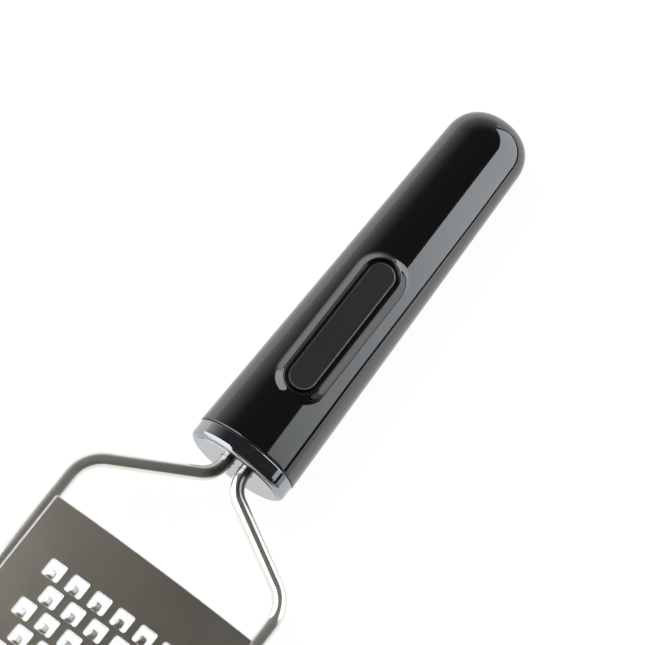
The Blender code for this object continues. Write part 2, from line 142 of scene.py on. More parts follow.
@dataclass
class Skin:
    """Sheets of points gathered into one mesh, with a vector and a number noted at each point."""

    points: list[Array] = field(default_factory=list)
    notes: list[Array] = field(default_factory=list)
    marks: list[Array] = field(default_factory=list)
    faces: list[list[int]] = field(default_factory=list)
    count: int = 0

    def add(self, points: Array, note: Array | None = None, mark: Array | float = 0.0) -> Array:
        """Note points, to be joined by faces.

        Args:
            points: Three coordinates for each point, in any arrangement.
            note: A vector for each point, on which its finish is laid. Its place, by default.
            mark: A number for each point: how strongly its finish's painted light colour lies on
                it.

        Returns:
            The index in the mesh of each point.
        """
        shape = points.shape[:-1]
        index = np.arange(math.prod(shape)).reshape(shape) + self.count
        self.points.append(points.reshape(-1, 3))
        self.notes.append((points if note is None else note).reshape(-1, 3))
        self.marks.append(np.broadcast_to(np.asarray(mark, float), shape).reshape(-1))
        self.count += index.size
        return index

    def sheet(self, grid: Array, note: Array | None = None, mark: Array | float = 0.0,
              wrap: bool = False, lids: tuple[int, ...] = ()) -> None:
        """Add a grid of points joined by four-sided faces.

        Args:
            grid: Rows by columns by three coordinates.
            note: A vector for each point, as add takes it.
            mark: A number for each point, as add takes it.
            wrap: Whether the last column joins the first.
            lids: Rows of the grid that one flat face closes.
        """
        index = self.add(grid, note, mark)
        after = np.roll(index, -1, axis=1)
        quads = np.stack([index[:-1], index[1:], after[1:], after[:-1]], axis=-1)
        quads = quads if wrap else quads[:, :-1]
        self.faces += quads.reshape(-1, 4).tolist()
        self.faces += [index[row].tolist() for row in lids]

    def mesh(self, name: str, weld: float) -> bpy.types.Mesh:
        """Return the mesh, welded and facing outwards.

        Args:
            name: The mesh's name.
            weld: Points nearer than this become one.

        Returns:
            The finished mesh.
        """
        made = bpy.data.meshes.new(name)
        made.from_pydata(np.concatenate(self.points).tolist(), [], self.faces)
        lay = made.attributes.new("lay", "FLOAT_VECTOR", "POINT")
        lay.data.foreach_set("vector", np.concatenate(self.notes).astype(np.float32).ravel())
        mark = made.attributes.new("mark", "FLOAT", "POINT")
        mark.data.foreach_set("value", np.concatenate(self.marks).astype(np.float32))
        shape = bmesh.new()
        shape.from_mesh(made)
        bmesh.ops.remove_doubles(shape, verts=shape.verts, dist=weld)
        bmesh.ops.recalc_face_normals(shape, faces=shape.faces)
        shape.to_mesh(made)
        shape.free()
        return made

    def piece(self, name: str, finish: bpy.types.Material, slot: Slot, weld: float = 1e-6,
              sharp: float = 40.0, stands_for: tuple[str, ...] = ()) -> bpy.types.Object:
        """Make the skin an object that rides on the tool.

        Args:
            name: The piece's name.
            finish: Its material.
            slot: The record's slot that the finish stands for. Not used.
            weld: Points nearer than this become one.
            sharp: Edges that turn more than this many degrees stay sharp.
            stands_for: The frame's nodes that it replaces.

        Returns:
            The object, at the origin and unturned.
        """
        mesh = self.mesh(name, weld)
        mesh.shade_smooth()
        mesh.set_sharp_from_angle(angle=math.radians(sharp))
        mesh.materials.append(finish)
        made = bpy.data.objects.new(name, mesh)
        bpy.context.scene.collection.objects.link(made)
        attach(made, ROOT)
        if stands_for:
            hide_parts(*stands_for)
        LOG.info("%s: %d points, %d faces", name, len(mesh.vertices), len(mesh.polygons))
        return made


class Nodes:
    """A small writer of node trees, for materials, the world and shared groups."""

    def __init__(self, tree: bpy.types.NodeTree) -> None:
        """Hold the tree that the nodes go into."""
        self.tree = tree

    def feed(self, target: Socket, value: object) -> None:
        """Link an input to the output that is given, or set it to the plain value."""
        if isinstance(value, Socket):
            self.tree.links.new(value, target)
        else:
            target.default_value = value

    def add(self, kind: str, feeds: dict[str | int, object] | None = None,
            **values: object) -> bpy.types.Node:
        """Add a node.

        Args:
            kind: Its type.
            feeds: What goes into its inputs, by name or number: an output or a plain value.
            **values: Its plain properties, which are set first.

        Returns:
            The node.
        """
        node = self.tree.nodes.new(kind)
        for name, value in values.items():
            setattr(node, name, value)
        for key, value in (feeds or {}).items():
            self.feed(node.inputs[key], value)
        return node

    def noise(self, place: Socket, scale: float, detail: float, rough: float = 0.5) -> Socket:
        """Return the value of a noise pattern laid on a place."""
        feeds = {"Vector": place, "Scale": scale, "Detail": detail, "Roughness": rough}
        return self.add("ShaderNodeTexNoise", feeds, noise_dimensions="3D").outputs["Fac"]

    def spread(self, value: Socket, low: float, high: float,
               source: Pair = (0.0, 1.0)) -> Socket:
        """Return a value mapped from a source range to a range from low to high."""
        feeds = {"Value": value, "From Min": source[0], "From Max": source[1],
                 "To Min": low, "To Max": high}
        return self.add("ShaderNodeMapRange", feeds).outputs["Result"]

    def combine(self, first: Socket, second: Socket | float, operation: str = "ADD") -> Socket:
        """Return two values combined, by adding them unless another operation is named."""
        return self.add("ShaderNodeMath", {0: first, 1: second}, operation=operation).outputs[0]

    def stretched(self, place: Socket, scale: Triple) -> Socket:
        """Return a place scaled differently along its three directions."""
        feeds = {"Vector": place, "Scale": scale}
        return self.add("ShaderNodeMapping", feeds, vector_type="POINT").outputs["Vector"]

    def parts(self, place: Socket) -> Sockets:
        """Return the X, Y and Z of a place."""
        return self.add("ShaderNodeSeparateXYZ", {"Vector": place}).outputs

    def mixed(self, share: Socket, first: object, second: object, blend: str = "MIX") -> Socket:
        """Return a colour between two, or blended in another way, by a share."""
        feeds = {"Factor": share, "A": first, "B": second}
        node = self.add("ShaderNodeMix", feeds, data_type="RGBA", blend_type=blend)
        return node.outputs["Result"]

    def crossed(self, share: Socket, first: Socket, second: Socket) -> Socket:
        """Return a shader between two, by a share."""
        feeds = {"Fac": share, 1: first, 2: second}
        return self.add("ShaderNodeMixShader", feeds).outputs["Shader"]


def shared_effect(name: str, inputs: dict[str, float],
                  write: Callable[[Nodes, Sockets], dict[str, Socket]]) -> bpy.types.NodeTree:
    """Return a node group that several finishes use, written once.

    Args:
        name: The group's name.
        inputs: Its numbers and their defaults. It always has a Place vector too.
        write: Writes the tree, given its writer and the group's inputs, and returns the values
            that the group puts out.

    Returns:
        The group.
    """
    found = bpy.data.node_groups.get(name)
    if found:
        return found
    tree = bpy.data.node_groups.new(name, "ShaderNodeTree")
    tree.interface.new_socket("Place", in_out="INPUT", socket_type="NodeSocketVector")
    for label, value in inputs.items():
        socket = tree.interface.new_socket(label, in_out="INPUT", socket_type="NodeSocketFloat")
        socket.default_value = value
    nodes = Nodes(tree)
    results = write(nodes, nodes.add("NodeGroupInput").outputs)
    for label in results:
        tree.interface.new_socket(label, in_out="OUTPUT", socket_type="NodeSocketFloat")
    nodes.add("NodeGroupOutput", results)
    return tree


def drawn_grain(nodes: Nodes, given: Sockets) -> dict[str, Socket]:
    """Write the grain of rolled or drawn metal: fine lines far longer than they are wide.

    The place is squeezed along its first direction, and a fine and a coarse noise on it are
    averaged. Shade is a gain round 1, Rough an offset round 0, and Height the lines themselves.

    Args:
        nodes: The writer of the group's tree.
        given: The group's inputs.

    Returns:
        The values that the group puts out.
    """
    lines = nodes.stretched(given["Place"], (40.0, 4500.0, 4500.0))
    bands = nodes.stretched(given["Place"], (18.0, 900.0, 900.0))
    both = nodes.combine(nodes.noise(lines, 1.0, 3.0, 0.6), nodes.noise(bands, 1.0, 2.0))
    middle = nodes.spread(both, -1.0, 1.0, (0.6, 1.4))
    shade = nodes.combine(middle, given["Shade Depth"], "MULTIPLY")
    return {"Shade": nodes.combine(shade, 1.0),
            "Rough": nodes.combine(middle, given["Rough Depth"], "MULTIPLY"), "Height": both}


def handling_haze(nodes: Nodes, given: Sockets) -> dict[str, Socket]:
    """Write the faint haze of handling: soft patches and sparse fine marks, as rougher spots.

    A broad noise gives the patches, and a fine one, kept only where it is high, the marks.

    Args:
        nodes: The writer of the group's tree.
        given: The group's inputs.

    Returns:
        The values that the group puts out.
    """
    patches = nodes.noise(given["Place"], 38.0, 3.0, 0.55)
    fine = nodes.noise(given["Place"], 900.0, 2.0, 0.6)
    marks = nodes.spread(fine, 0.0, 0.5, (0.62, 0.78))
    both = nodes.combine(nodes.spread(patches, -0.6, 0.6, (0.3, 0.7)), marks)
    return {"Rough": nodes.combine(both, given["Depth"], "MULTIPLY"),
            "Height": nodes.combine(patches, fine)}


@dataclass(frozen=True)
class Finish:
    """A finish of the tool: colour, gloss, grain and the haze of handling.

    The shade is the plain colour times the grain's gain, and marked points take on the painted
    light colour: painted highlight on the ferrule, blade and badge, painted shade on the wire.
    Roughness is the plain one plus the grain's and the haze's offsets.
    """

    name: str
    colour: Triple
    roughness: float
    haze: float
    bump: float
    bump_depth: float
    metallic: float = 0.0
    ior: float = 1.5
    grain_shade: float = 0.0
    grain_rough: float = 0.0
    grain_on_lay: bool = True
    painted_light_colour: Triple | None = None
    edge_roughness: float | None = None
    edge_metallic: float | None = None
    patch_and_painted_shade_colour: Triple | None = None
    painted_shade_span: Pair = (-0.024, 0.014)
    patch_scale: float = 26.0

    def material(self) -> bpy.types.Material:
        """Make the material of this finish.

        Returns:
            The material, made once.
        """
        found = bpy.data.materials.get(self.name)
        if found:
            return found
        made = bpy.data.materials.new(self.name)
        made.use_nodes = True
        made.diffuse_color = (*self.colour, 1.0)
        nodes = Nodes(made.node_tree)
        lay = nodes.add("ShaderNodeAttribute", attribute_name="lay").outputs["Vector"]
        mark = nodes.add("ShaderNodeAttribute", attribute_name="mark").outputs["Fac"]
        place = nodes.add("ShaderNodeTexCoord").outputs["Object"]
        grain = nodes.add(
            "ShaderNodeGroup", {"Place": lay if self.grain_on_lay else place,
                                "Shade Depth": self.grain_shade, "Rough Depth": self.grain_rough},
            node_tree=shared_effect("drawn_grain", {"Shade Depth": 0.1, "Rough Depth": 0.05},
                                    drawn_grain)).outputs
        haze = nodes.add(
            "ShaderNodeGroup", {"Place": place, "Depth": self.haze},
            node_tree=shared_effect("handling_haze", {"Depth": 0.04}, handling_haze)).outputs
        metallic, rough = self.metallic, self.roughness
        if self.edge_metallic is not None:
            metallic = nodes.spread(mark, metallic, self.edge_metallic)
        if self.edge_roughness is not None:
            rough = nodes.spread(mark, rough, self.edge_roughness)
        bump = nodes.add("ShaderNodeBump", {
            "Strength": self.bump, "Distance": self.bump_depth,
            "Height": nodes.combine(grain["Height"], haze["Height"])})
        looks = {"Base Color": self.tint(nodes, grain["Shade"], mark, place),
                 "Metallic": metallic, "IOR": self.ior, "Normal": bump.outputs["Normal"],
                 "Roughness": nodes.combine(nodes.combine(grain["Rough"], haze["Rough"]), rough)}
        for name, value in looks.items():
            nodes.feed(made.node_tree.nodes["Principled BSDF"].inputs[name], value)
        return made

    def tint(self, nodes: Nodes, shade: Socket, mark: Socket, place: Socket) -> Socket:
        """Work out the colour: the plain one, mixed to the painted light colour and shaded by the
        grain.

        A finish with a patch colour first drifts between its two tones, in broad, soft patches,
        over painted shade that darkens it steadily across the tool towards -Y.

        Args:
            nodes: The writer of the material's tree.
            shade: The grain's gain.
            mark: How far the painted light colour is reached.
            place: The place on the piece.

        Returns:
            The colour.
        """
        colour = (*self.colour, 1.0)
        if self.patch_and_painted_shade_colour:
            patches = nodes.noise(place, self.patch_scale, 3.0)
            drift = nodes.spread(patches, -0.3, 0.3, (0.38, 0.62))
            # Painted shade: darker towards -Y across the tool, where less light falls.
            painted_shade_across = nodes.spread(nodes.parts(place)["Y"], 1.0, 0.0, self.painted_shade_span)
            colour = nodes.mixed(nodes.combine(drift, painted_shade_across), colour, (*self.patch_and_painted_shade_colour, 1.0))
        # Painted light: marked points take the finish's painted light colour.
        if self.painted_light_colour:
            colour = nodes.mixed(mark, colour, (*self.painted_light_colour, 1.0))
        feeds = {0: colour if isinstance(colour, Socket) else self.colour, "Scale": shade}
        return nodes.add("ShaderNodeVectorMath", feeds, operation="SCALE").outputs["Vector"]


GLOSS_BLACK = Finish("gloss_black_moulding", (0.0016, 0.0016, 0.0018), roughness=0.06, haze=0.02,
                     bump=0.02, bump_depth=0.00002, ior=1.9, grain_rough=0.004)
# The ferrule's painted light colour is a painted highlight along its rear rounded edge.
POLISHED_FERRULE = Finish("polished_ferrule", (0.305, 0.316, 0.332), roughness=0.05, haze=0.02,
                          bump=0.02, bump_depth=0.00001, metallic=1.0, grain_shade=0.015,
                          grain_rough=0.01, painted_light_colour=(0.36, 0.365, 0.375))
# The wire's painted light colour is painted shade, laid on the legs near the ferrule.
POLISHED_WIRE = Finish("polished_drawn_wire", (0.72, 0.695, 0.64), roughness=0.13, haze=0.03,
                       bump=0.08, bump_depth=0.00001, metallic=0.84, grain_shade=0.16,
                       grain_rough=0.04, painted_light_colour=(0.20, 0.19, 0.17))
# The blade's painted light colour is a painted highlight on cut edges, hole rims and tooth curls;
# its patch colour also carries painted shade across the sheet.
SATIN_BLADE = Finish("satin_rolled_sheet", (0.465, 0.418, 0.355), roughness=0.32, haze=0.05,
                     bump=0.05, bump_depth=0.00001, metallic=0.88, grain_shade=0.025,
                     grain_rough=0.02, painted_light_colour=(0.97, 0.97, 0.96), edge_roughness=0.30,
                     edge_metallic=0.35, patch_and_painted_shade_colour=(0.345, 0.322, 0.268))
# The badge's painted light colour is a painted highlight on its rim.
CHARCOAL_BADGE = Finish("charcoal_satin_badge", (0.021, 0.0205, 0.0198), roughness=0.42,
                        haze=0.03, bump=0.08, bump_depth=0.00001, metallic=0.35,
                        grain_shade=0.05, grain_rough=0.03, painted_light_colour=(0.15, 0.15, 0.15),
                        edge_roughness=0.20)
INNER_CORE = Finish("inner_core_moulding", (0.055, 0.055, 0.058), roughness=0.5, haze=0.05,
                    bump=0.1, bump_depth=0.00003, grain_shade=0.04, grain_rough=0.03,
                    grain_on_lay=False)


@dataclass
class Grip:
    """The handle: a tapered oval shell with a domed tip and a boss that carries the badge."""

    start: float = 0.0051
    length: float = 0.1161
    front: Pair = (0.0148, 0.010497)
    end: Pair = (0.0115, 0.0086)
    taper_end: float = 0.0084
    dome: float = 0.0105
    dome_power: float = 2.3
    wall: float = 0.0022
    rim: float = 0.0004
    seam: float = 0.0001
    cavity_taper: float = 0.0030
    cavity_share: float = 0.7
    dip: float = 0.0016
    dip_reach: float = 0.0086
    dip_fade: float = 0.0024
    badge_station: float = 0.0400
    badge_span: float = 0.0345
    badge_half_width: float = 0.0038
    badge_thickness: float = 0.0009
    badge_round: float = 0.00012
    badge_rim: Triple = (0.00022, 0.00034, 0.00050)
    badge_rim_rise: float = 0.00007
    badge_core: float = 0.0020
    # Painted highlight on the badge's rim: its level in the middle, its fall across, and its least.
    badge_painted_highlight: Triple = (0.55, 0.45, 0.15)
    groove: float = 0.0011
    recess: float = 0.0012
    pocket_core: float = 0.0030
    foot_round: float = 0.0002
    lip_round: float = 0.00018
    boss_lip: float = 0.0003
    boss_rise: float = 0.0007
    boss_flare: float = 0.0024
    boss_shoulder: float = 0.14
    boss_skirt: Pair = (0.0096, 0.0079)
    boss_flank: float = 0.0078
    boss_over_shell: float = 0.000003
    under_at: tuple[float, ...] = (0.0030, 0.0055, 0.0075, 0.0095)
    under_drop: tuple[float, ...] = (0.00150, 0.00110, 0.00060, 0.00025)
    under_top: float = 0.97
    sides: int = 160
    body_rings: int = 132
    dome_rings: int = 72

    @property
    def tip(self) -> float:
        """Station of the tip of the dome."""
        return self.start + self.length

    def half_sizes(self, station: Array) -> tuple[Array, Array]:
        """Return the half width and half thickness at a station, which taper in a straight line."""
        share = (station - self.start) / (self.length - self.taper_end)
        width = self.front[0] + share * (self.end[0] - self.front[0])
        return width, self.front[1] + share * (self.end[1] - self.front[1])

    def crown(self, station: Array, across: Array) -> tuple[Array, Array]:
        """Return the oval's height over its axis at places on its top, and its half thickness."""
        width, thickness = self.half_sizes(station)
        return thickness * np.sqrt(np.clip(1 - (across / width) ** 2, 0.0, 1.0)), thickness

    def outer_rings(self) -> tuple[Array, Array, Array]:
        """Work out the rings of the outside, from the rounded rim to near the tip.

        The rim is a quarter circle and the body a straight taper, which runs on through the dome:
        there the size is (1 - way ** power) ** (1 / power), an ellipse with a fuller shoulder.

        Returns:
            Each ring's station, half width and half thickness.
        """
        rim_run, rim_inset = quarter(self.rim, 9)
        body_start, dome_start = self.start + self.rim, self.tip - self.dome
        body = np.linspace(body_start, dome_start, self.body_rings)[1:-1]
        body = np.r_[body_start + self.seam, body, dome_start - self.seam]
        way = np.sin(np.linspace(0.0, np.pi / 2, self.dome_rings)[:-1])
        stations = np.r_[self.start + rim_run, body, dome_start + self.dome * way]
        inset = np.r_[rim_inset, np.zeros(len(body) + len(way))]
        full = (1 - way ** self.dome_power) ** (1 / self.dome_power)
        shrink = np.r_[np.ones(len(rim_run) + len(body)), full]
        width, thickness = self.half_sizes(stations)
        return stations, (width - inset) * shrink, (thickness - inset) * shrink

    def cavity_rings(self) -> tuple[Array, Array, Array]:
        """Work out the rings of the cavity, from its deep end to the rim.

        Returns:
            Each ring's station, half width and half thickness.
        """
        deep = self.tip - self.taper_end
        stations = np.array([deep, deep - self.cavity_taper, self.start])
        width, thickness = self.half_sizes(stations)
        share = np.array([self.cavity_share, 1.0, 1.0])
        return stations, (width - self.wall) * share, (thickness - self.wall) * share

    def shell(self, skin: Skin) -> None:
        """Add the shell, dipped under the badge so that the boss's own sheet lies over it.

        The dip is eased by the distance from the badge's spine, a line along the handle's top.

        Args:
            skin: The mesh that it goes into.
        """
        inside, outside = self.cavity_rings(), self.outer_rings()
        stations, widths, thicknesses = (np.concatenate(pair) for pair in zip(inside, outside))
        grid = ovals(stations, widths, thicknesses, self.sides)
        along = grid[..., 0] - SHIFT - self.start - self.badge_station
        past = along - np.clip(along, -self.badge_span / 2, self.badge_span / 2)
        distance = np.hypot(past, grid[..., 1])
        dip = self.dip * ease((self.dip_reach - distance) / self.dip_fade)
        dip[:len(inside[0])] = 0.0
        dip[grid[..., 2] < AXIS_HEIGHT] = 0.0
        grid[..., 2] -= dip
        skin.sheet(grid, wrap=True, lids=(0,))
        pole = np.array([[[self.tip + SHIFT, 0.0, AXIS_HEIGHT]] * self.sides])
        skin.sheet(np.concatenate([grid[-1:], pole]), wrap=True)

    def boss_height(self, station: Array, across: Array, distance: Array) -> Array:
        """Work out the height of the crown with its boss.

        The oval's height, drawn up to the boss's level top by a share that is 1 on the top and
        falls to 0 over the flare: steep at the top's edge, then easing out into the oval. The
        share is the square of 1 less the way down the flare, which starts with a small shoulder.

        Args:
            station: The places' stations.
            across: The places across.
            distance: How far they lie from the badge's spine.

        Returns:
            Heights over the handle's axis.
        """
        oval, thickness = self.crown(station, across)
        top = self.badge_half_width + self.groove + self.boss_lip
        way = np.clip((distance - top) / self.boss_flare, 0.0, 1.0)
        way = (1 + self.boss_shoulder) * way * way / (way + self.boss_shoulder)
        return oval + (thickness + self.boss_rise - oval) * (1 - way) ** 2

    def pill_paths(self, distances: Array, ends: int = 40,
                   straights: int = 28) -> tuple[Array, Array]:
        """Work out closed pill outlines round the badge's spine.

        Each point is one of the spine's plus the distance in the direction that it faces, which
        turns a half circle at each end.

        Args:
            distances: How far each outline lies from the spine.
            ends: Points in each half circle.
            straights: Points along each side, with those that it shares with the ends.

        Returns:
            The stations and the places across, an outline to each row.
        """
        turn = np.linspace(-np.pi / 2, np.pi / 2, ends)
        half = self.badge_span / 2
        run = half - np.linspace(0.0, 1.0, straights)[1:-1] * 2 * half
        level = np.full(len(run), np.pi / 2)
        spine = np.r_[np.full(ends, half), run, np.full(ends, -half), -run]
        facing = np.r_[turn, level, turn + np.pi, 3 * level]
        along = spine + distances[:, None] * np.cos(facing)
        return along + self.start + self.badge_station, distances[:, None] * np.sin(facing)

    def boss(self, skin: Skin) -> None:
        """Add the boss with the badge's pocket in it, as one closed sheet laid on the shell.

        From outside in: the crown and the boss's flank, a quarter-round lip, the pocket's wall
        with a round foot, and its floor. The underside closes it inside the shell's wall.

        Args:
            skin: The mesh that it goes into.
        """
        pocket = self.badge_half_width + self.groove
        lip_drop, lip = (side[1:] for side in quarter(self.lip_round, 8))
        foot, foot_rise = (side[1:] for side in quarter(self.foot_round, 8))
        outer = np.r_[np.linspace(*self.boss_skirt, 8),
                      np.linspace(self.boss_flank, pocket + self.lip_round, 52)]
        distances = np.r_[outer, pocket + lip, pocket - foot, self.pocket_core]
        drops = np.r_[np.zeros(len(outer)), lip_drop, self.recess - foot_rise, self.recess]
        station, across = self.pill_paths(distances)
        height = self.boss_height(station, across, distances[:, None]) + self.boss_over_shell
        seat = self.half_sizes(station)[1] + self.boss_rise
        level = np.where(drops[:, None] > 0, seat - drops[:, None], height)
        top = placed(station, across, level)
        station, across = self.pill_paths(np.array(self.under_at))
        oval, thickness = self.crown(station, across)
        level = np.minimum(oval, thickness * self.under_top) - np.array(self.under_drop)[:, None]
        under = placed(station, across, level)
        skin.sheet(np.concatenate([under, top]), wrap=True, lids=(0, -1))

    def build(self) -> None:
        """Build and dress the handle."""
        skin = Skin()
        self.shell(skin)
        self.boss(skin)
        skin.piece("handle_moulding", GLOSS_BLACK.material(), Slot.HANDLE,
                   stands_for=("handle_shell",))

    def badge(self) -> None:
        """Build and dress the bare badge: a flat face inside a bevelled and slightly raised rim.

        The rim's profile, from its foot to the face, is carried round the pill's outline. The rim
        takes a painted highlight, strongest on the side that faces the soft box (-Y) and fading
        across the badge.
        """
        half, thick = self.badge_half_width, self.badge_thickness
        inward, drop = quarter(self.badge_round, 7)
        face = np.full(3, thick - self.badge_rim_rise)
        distances = np.r_[self.badge_core, half, half - inward, half - np.array(self.badge_rim),
                          self.badge_core]
        heights = np.r_[0.0, 0.0, thick - drop, thick, face]
        marks = np.r_[0.0, 0.0, np.ones(len(inward)), 1.0, 0.3, 0.0, 0.0]
        station, across = self.pill_paths(distances)
        floor = self.half_sizes(station)[1] + self.boss_rise - self.recess + FIT_GAP
        # Painted highlight on the rim, strongest towards -Y, the side facing the soft box.
        middle, slope, least = self.badge_painted_highlight
        rim_painted_highlight = np.clip(middle - slope * across / half, least, 1.0)
        skin = Skin()
        skin.sheet(placed(station, across, floor + heights[:, None]), mark=marks[:, None] * rim_painted_highlight,
                   wrap=True, lids=(0, -1))
        skin.piece("badge_bare", CHARCOAL_BADGE.material(), Slot.BADGE, sharp=30.0,
                   stands_for=("badge_plate",))


@dataclass
class Ferrule:
    """The polished end cap: a short oval band, a rounded edge and a flat face with two holes."""

    grip: Grip
    length: float = 0.0050
    step: float = 0.00025
    front_round: float = 0.0015
    ledge: float = 0.0002
    ledge_bevel: float = 0.00003
    ledge_round: tuple[float, ...] = (0.00004, 0.00006, 0.00009, 0.00018)
    rear_round: float = 0.0003
    band_seams: Pair = (0.00006, 0.0001)
    spigot: float = 0.0060
    leg_spacing: float = 0.0028
    hole: float = 0.00215
    hole_depth: float = 0.0025
    hole_sides: int = 48
    sides: int = 192

    def face(self, skin: Skin, rim: Array) -> None:
        """Fill the flat face between its rim and the leg holes, and sink the holes behind it.

        Args:
            skin: The mesh that it goes into.
            rim: The points of the face's rim.
        """
        lift = WIRE_HEIGHT - AXIS_HEIGHT
        across, up = around(self.hole_sides)
        circles = [np.stack([side * self.leg_spacing + self.hole * across, lift + self.hole * up],
                            axis=-1) for side in (1, -1)]
        loops = [rim[:, 1:] - np.array([0.0, AXIS_HEIGHT])] + circles
        edges: list[tuple[int, int]] = []
        for loop in loops:
            start, size = len(edges), len(loop)
            edges += [(start + k, start + (k + 1) % size) for k in range(size)]
        found = delaunay_2d_cdt([Vector(point) for point in np.concatenate(loops)], edges, [],
                                0, 1e-7)
        spots, triangles = np.array(found[0]), np.array(found[2])
        middles = spots[triangles].mean(axis=1)
        reach = np.hypot(np.abs(middles[:, 0]) - self.leg_spacing, middles[:, 1] - lift)
        index = skin.add(placed(np.zeros(len(spots)), spots[:, 0], spots[:, 1]))
        skin.faces += index[triangles[reach > self.hole * 0.999]].tolist()
        depths = np.array([[0.0], [self.hole_depth]])
        for circle in circles:
            skin.sheet(placed(depths, circle[:, 0], circle[:, 1]), wrap=True, lids=(-1,))

    def build(self) -> None:
        """Build and dress the ferrule, from the spigot's end to the flat face.

        Each ring is an oval drawn in by an inset. The rear and front edges are quarter circles.
        The face stands a small ledge proud of the front edge, and a narrow flat ring holds it
        level.
        """
        rear_in, rear_run = (side[::-1] for side in quarter(self.rear_round, 7))
        front_run, front_in = (side[::-1] for side in quarter(self.front_round, 15))
        plug = self.grip.wall + FIT_GAP - self.step
        stations = np.r_[self.length + self.spigot, self.length, self.length - rear_run,
                         self.length - self.rear_round - self.band_seams[0],
                         self.ledge + self.front_round + self.band_seams[1],
                         self.ledge + front_run, self.ledge, self.ledge_bevel, 0.0, 0.0]
        insets = np.r_[plug, plug, rear_in, 0.0, 0.0, front_in,
                       self.front_round + np.array(self.ledge_round)]
        # Painted highlight: the rear rounded edge takes the ferrule's lighter painted light colour,
        # for a bright seam line.
        marks = np.zeros((len(stations), 1))
        marks[2:2 + len(rear_in)] = 1.0
        widths, thicknesses = (half - self.step - insets for half in self.grip.front)
        grid = ovals(stations, widths, thicknesses, self.sides)
        skin = Skin()
        skin.sheet(grid, mark=marks, wrap=True, lids=(0,))
        self.face(skin, grid[-1])
        skin.piece("ferrule_polished_cap", POLISHED_FERRULE.material(), Slot.FERRULE, weld=2e-6,
                   stands_for=("end_cap",))


@dataclass
class WireLoop:
    """The bent wire: legs with upset heads, neck, shoulders, sides and far end."""

    radius: float = 0.0020
    head_radius: float = 0.0024
    head_bevel: float = 0.0002
    head_length: float = 0.0025
    head_step: float = 0.0001
    leg_end: float = 0.0389
    leg: float = 0.0028
    side: float = 0.0321
    neck: float = 0.005331662
    shoulder: float = 0.022111930
    far_end: float = 0.162698567
    neck_bend: float = 0.0073
    loop_bend: float = 0.0105
    # Painted shade on the legs near the ferrule: where it starts, its fade, its rise up the wire
    # and the side it lies on.
    painted_shade_from: float = 0.0122
    painted_shade_fade: float = 0.0045
    painted_shade_up: Pair = (0.2, 0.4)
    painted_shade_side: float = 0.35
    sides: int = 40
    steps: int = 28

    def route(self) -> tuple[Array, Array]:
        """Work out the wire's path, with a true arc at each corner.

        An arc's centre lies a radius to the inner side of the point where it starts, and its
        points are the centre plus the radius along the outward direction as that swings round.

        Returns:
            The path's level points, and its heading at each.
        """
        half = np.array([(self.leg_end, self.leg), (-self.neck, self.leg),
                         (-self.shoulder, self.side), (-self.far_end, self.side)])
        corners = np.concatenate([half, half[::-1] * [1, -1]])
        bends = [self.neck_bend, self.loop_bend, self.loop_bend]
        legs = np.diff(corners, axis=0)
        headings = legs / np.linalg.norm(legs, axis=1)[:, None]
        points, ways = [corners[:1]], [headings[:1]]
        for corner, radius, come, go in zip(corners[1:-1], bends + bends[::-1], headings[:-1],
                                            headings[1:]):
            swing = math.acos(float(np.clip(come @ go, -1.0, 1.0)))
            left = np.array([-come[1], come[0]])
            left *= math.copysign(1.0, float(left @ go))
            turns = np.linspace(0.0, swing, self.steps)[:, None]
            centre = corner - come * radius * math.tan(swing / 2) + left * radius
            points.append(centre + radius * (come * np.sin(turns) - left * np.cos(turns)))
            ways.append(come * np.cos(turns) + left * np.sin(turns))
        return np.concatenate(points + [corners[-1:]]), np.concatenate(ways + [headings[-1:]])

    def build(self) -> None:
        """Build and dress the wire: a circle carried along the route, wider over the upset heads.

        The legs carry painted shade towards the ferrule, on their upper side that faces the soft
        box, which dims its reflection there.
        """
        points, ways = self.route()
        head = np.array([0.0, self.head_bevel, self.head_length, self.head_length + self.head_step])
        wide = np.array([self.head_radius - self.head_bevel, self.head_radius, self.head_radius,
                         self.radius])
        front = points[:1] + ways[:1] * head[:, None]
        back = (points[-1:] - ways[-1:] * head[:, None])[::-1]
        path = np.concatenate([front, points[1:-1], back])
        heading = np.concatenate([np.repeat(ways[:1], len(head), axis=0), ways[1:-1],
                                  np.repeat(ways[-1:], len(head), axis=0)])
        radii = np.r_[wide, np.full(len(points) - 2, self.radius), wide[::-1]]
        level = points_of(path[:, 0] + SHIFT, path[:, 1], WIRE_HEIGHT)
        rings, flat = sweep(level, heading, radii, self.sides)
        facing = (rings - level[:, None]) / self.radius
        # Painted shade: legs darkened near the ferrule on the upper side facing the soft box (-Y).
        painted_shade = ease((rings[..., 0] - self.painted_shade_from) / self.painted_shade_fade)
        painted_shade = painted_shade * ease((facing[..., 2] - self.painted_shade_up[0]) / self.painted_shade_up[1])
        painted_shade = painted_shade * ease((self.painted_shade_side - facing[..., 1]) / self.painted_shade_side)
        skin = Skin()
        skin.sheet(rings, flat, painted_shade, wrap=True, lids=(0, -1))
        skin.piece("wire_loop_polished", POLISHED_WIRE.material(), Slot.WIRE,
                   stands_for=("wire_frame",))


